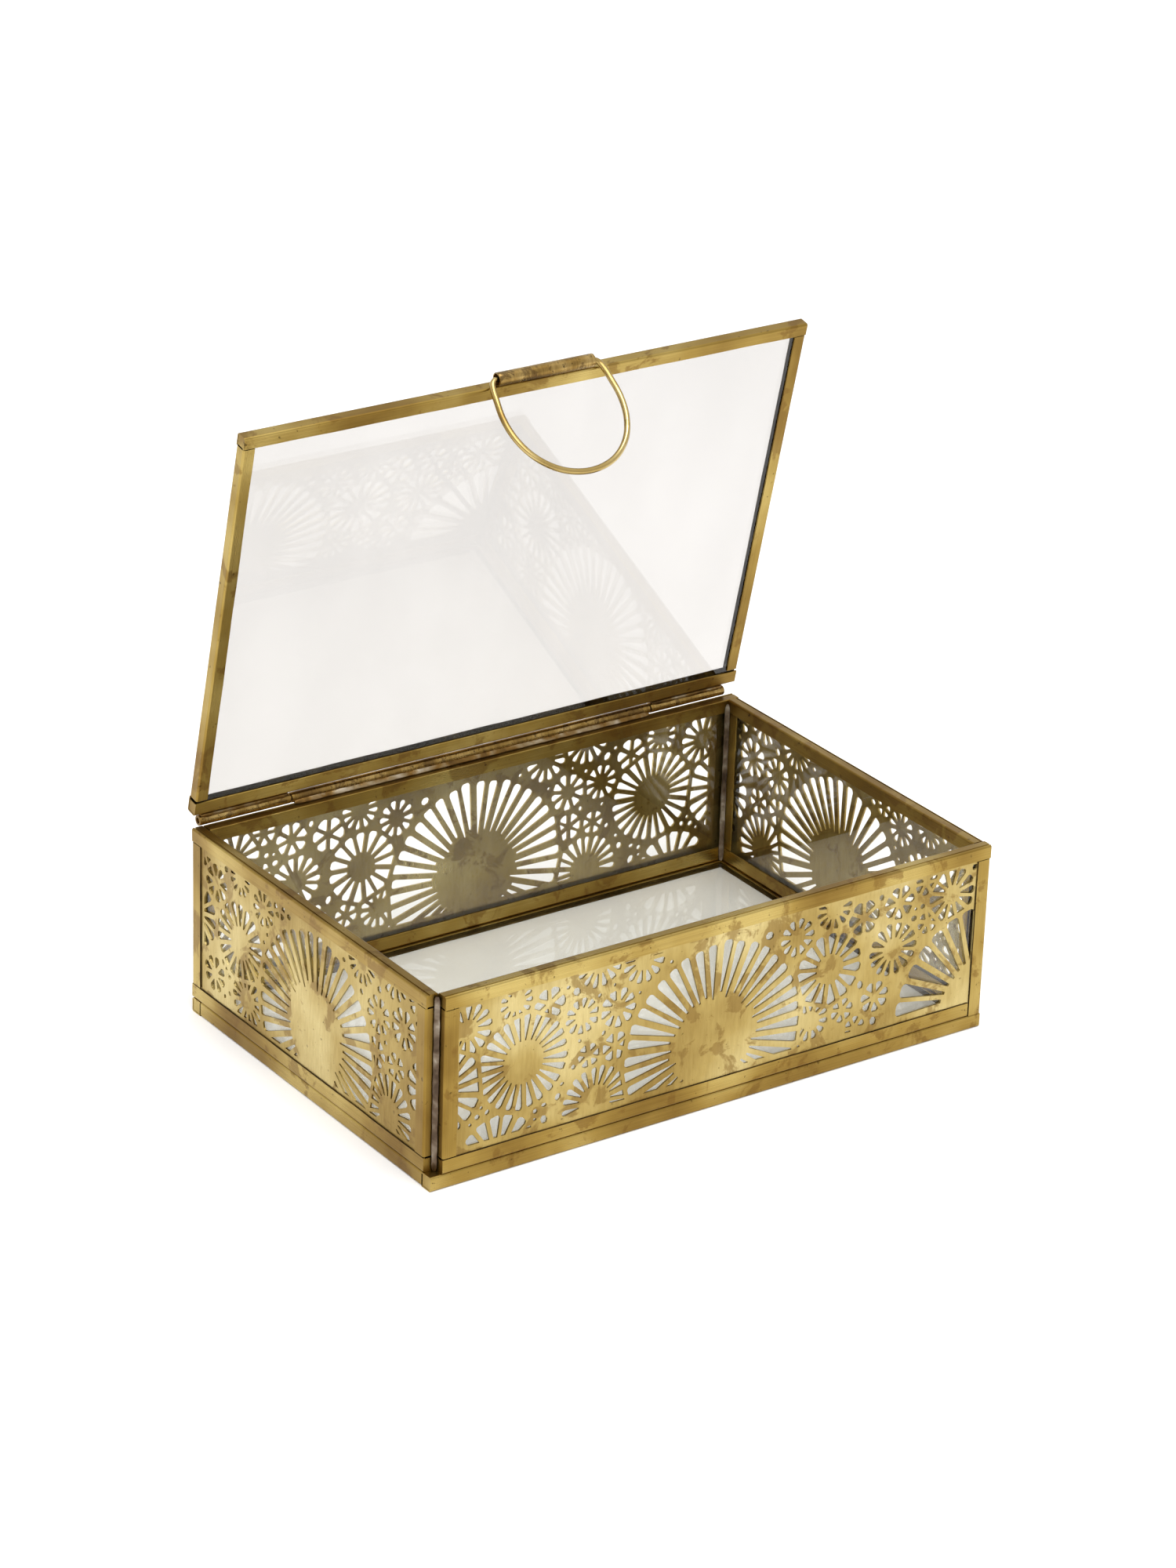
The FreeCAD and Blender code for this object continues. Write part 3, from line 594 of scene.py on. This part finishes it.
half = np.array(pull["line"])
whole = np.vstack([half * (-1, 1), half[-2::-1]])
line = smoothLine(whole, 260)
swing = math.radians(pull["angle"])
outward = np.array([0, math.cos(swing), -math.sin(swing)])
plane = np.cross(xAxis, outward)
centreLine = np.array([pull["centre"], axisY, pull["axisUp"]]) + line[:, :1] * xAxis + line[:, 1:] * outward
forward = np.gradient(centreLine, axis=0)
forward /= np.linalg.norm(forward, axis=1)[:, None]
sideways = np.cross(plane, forward)
turn = np.linspace(0, 2 * math.pi, 20, endpoint=False)
wire = (centreLine[:, None] + pull["wire"] * (np.cos(turn)[None, :, None] * sideways[:, None]
                                              + np.sin(turn)[None, :, None] * plane))
makePiece("pull_wire", [openLid(wire)], "bail", [finishes["drawnWireBrass"]], ["handle_bail"],
          sharp=60)
print("stage: pull made")


# Matt white card with the faintest unevenness.
def paleFloor():
    material, tree = newMaterial("paleFloorCard")
    place = addNode(tree, "ShaderNodeTexCoord")
    cloud = addNode(tree, "ShaderNodeTexNoise", [("Vector", place, "Object")],
                    {"Scale": 1000 / 300.0, "Detail": 2.0})
    tone = addNode(tree, "ShaderNodeValToRGB", [("Fac", cloud, "Fac")],
                   stops=[(0.3, "#f7f7f7"), (0.7, "#fafafa")])
    shader = addNode(tree, "ShaderNodeBsdfPrincipled", [("Base Color", tone, "Color")], {"Roughness": 0.9})
    addNode(tree, "ShaderNodeOutputMaterial", [("Surface", shader, "BSDF")])
    return material


floorMesh = bpy.data.meshes.new("floor")
reach = 4.0  # metres from the middle to each edge
floorMesh.from_pydata([(-reach, -reach, 0), (reach, -reach, 0), (reach, reach, 0), (-reach, reach, 0)], [],
                      [(0, 1, 2, 3)])
floorMesh.materials.append(paleFloor())
floor = bpy.data.objects.new("floor", floorMesh)
bpy.context.scene.collection.objects.link(floor)

world = bpy.data.worlds.new("softRoom")
bpy.context.scene.world = world
world.use_nodes = True
world.node_tree.nodes["Background"].inputs["Color"].default_value = linear("#ffffff")
world.node_tree.nodes["Background"].inputs["Strength"].default_value = 0.95


# The matrix of something whose right, up and back point along three axes, at a place.
def placed(right, up, back, place):
    return Matrix([[*row, p] for row, p in zip(np.stack([right, up, back], 1), place)] + [[0, 0, 0, 1]])


# Two soft panels, in metres and watts. Both face the origin.
lamps = {"keyPanel": {"place": (-0.55, -0.75, 1.1), "size": 0.8, "power": 6.0},
         "topPanel": {"place": (0.05, -0.2, 1.3), "size": 0.7, "power": 9.0}}
for name, lamp in lamps.items():
    data = bpy.data.lights.new(name, "AREA")
    data.size, data.energy = lamp["size"], lamp["power"]
    lampObject = bpy.data.objects.new(name, data)
    bpy.context.scene.collection.objects.link(lampObject)
    away = np.array(lamp["place"])
    back = away / np.linalg.norm(away)
    right = np.cross(zAxis, back)
    right /= np.linalg.norm(right)
    lampObject.matrix_world = placed(right, np.cross(back, right), back, away)

# Where the camera stands: degrees, millimetres from the aim, and how far the aim is off the picture's middle.
view = {"azimuth": -35.378, "elevation": 24.472, "roll": 1.942, "focal": 114.87, "distance": 1136.55,
        "offRight": 0.30, "offUp": -32.70, "aim": (0.0, 0.108, 23.015)}
azimuth, elevation, roll = (math.radians(view[k]) for k in ("azimuth", "elevation", "roll"))
back = np.array([math.sin(azimuth) * math.cos(elevation), -math.cos(azimuth) * math.cos(elevation),
                 math.sin(elevation)])
right = np.cross(-back, zAxis)
right /= np.linalg.norm(right)
up = np.cross(right, -back)
right, up = (math.cos(roll) * right + math.sin(roll) * up, -math.sin(roll) * right + math.cos(roll) * up)
eye = np.array(view["aim"]) - view["offRight"] * right - view["offUp"] * up + view["distance"] * back
camera = bpy.data.objects.new("camera", bpy.data.cameras.new("camera"))
camera.data.lens, camera.data.sensor_width = view["focal"], 36.0
camera.data.clip_start, camera.data.clip_end = 0.05, 20.0
camera.matrix_world = placed(right, up, back, eye * mm)
bpy.context.scene.collection.objects.link(camera)
bpy.context.scene.camera = camera
bpy.context.scene.view_settings.view_transform = "Standard"
print("stage: floor, light and camera made")
